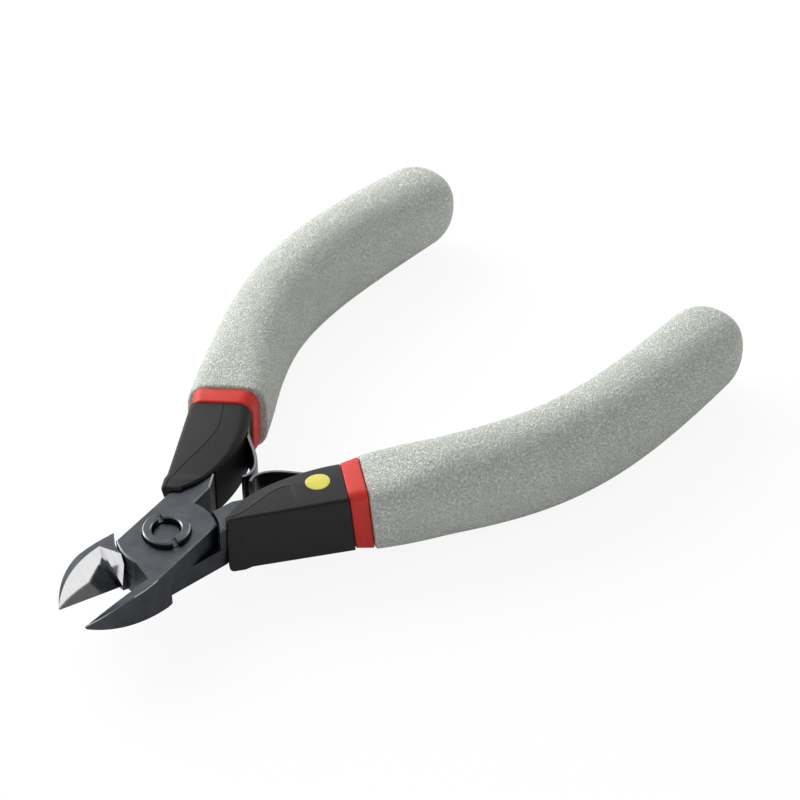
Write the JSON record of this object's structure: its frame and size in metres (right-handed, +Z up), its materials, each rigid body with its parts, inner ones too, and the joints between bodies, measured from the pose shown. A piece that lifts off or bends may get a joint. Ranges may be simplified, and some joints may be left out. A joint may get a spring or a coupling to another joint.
{
  "type": "side cutters",
  "caption": "Sprung side cutters with lapped steel jaws ground to a bevel, a slotted ring nut, leaf springs, hard bolsters and curved soft grips.",
  "frame": {"origin": "on the pivot axis, at the flat underside of the head, which is the face of the pivot screw's head", "axes": "+X from the pivot to the jaw tips, +Y to the left handle, +Z up from the underside to the ring nut"},
  "size_m": [0.119, 0.0774, 0.0174],
  "materials": {
    "steel": "blackened satin steel, the cutting faces ground bright",
    "fastener": "blackened satin steel",
    "spring": "dark spring steel strip",
    "bolster": "fine matt black",
    "band": "satin red",
    "grip": "soft warm grey with a fine grain"
  },
  "bodies": {
    "left_handle": {"lower_half": "steel", "pivot_screw": "fastener", "ring_nut": "fastener", "left_bolster": "bolster", "left_band": "band", "left_grip": "grip", "left_leaf_spring": "spring"},
    "right_handle": {"upper_half": "steel", "right_bolster": "bolster", "right_band": "band", "right_grip": "grip", "right_leaf_spring": "spring"}
  },
  "joints": [
    {"name": "jaw_pivot", "type": "hinge", "parent": "left_handle", "child": "right_handle", "pos_m": [0, 0, 0], "axis": [0, 0, -1], "range_deg": [0, 15.5], "stiffness_Nm_per_rad": 1.5, "springref_deg": -2.86, "deforming": ["left_leaf_spring", "right_leaf_spring"]}
  ]
}
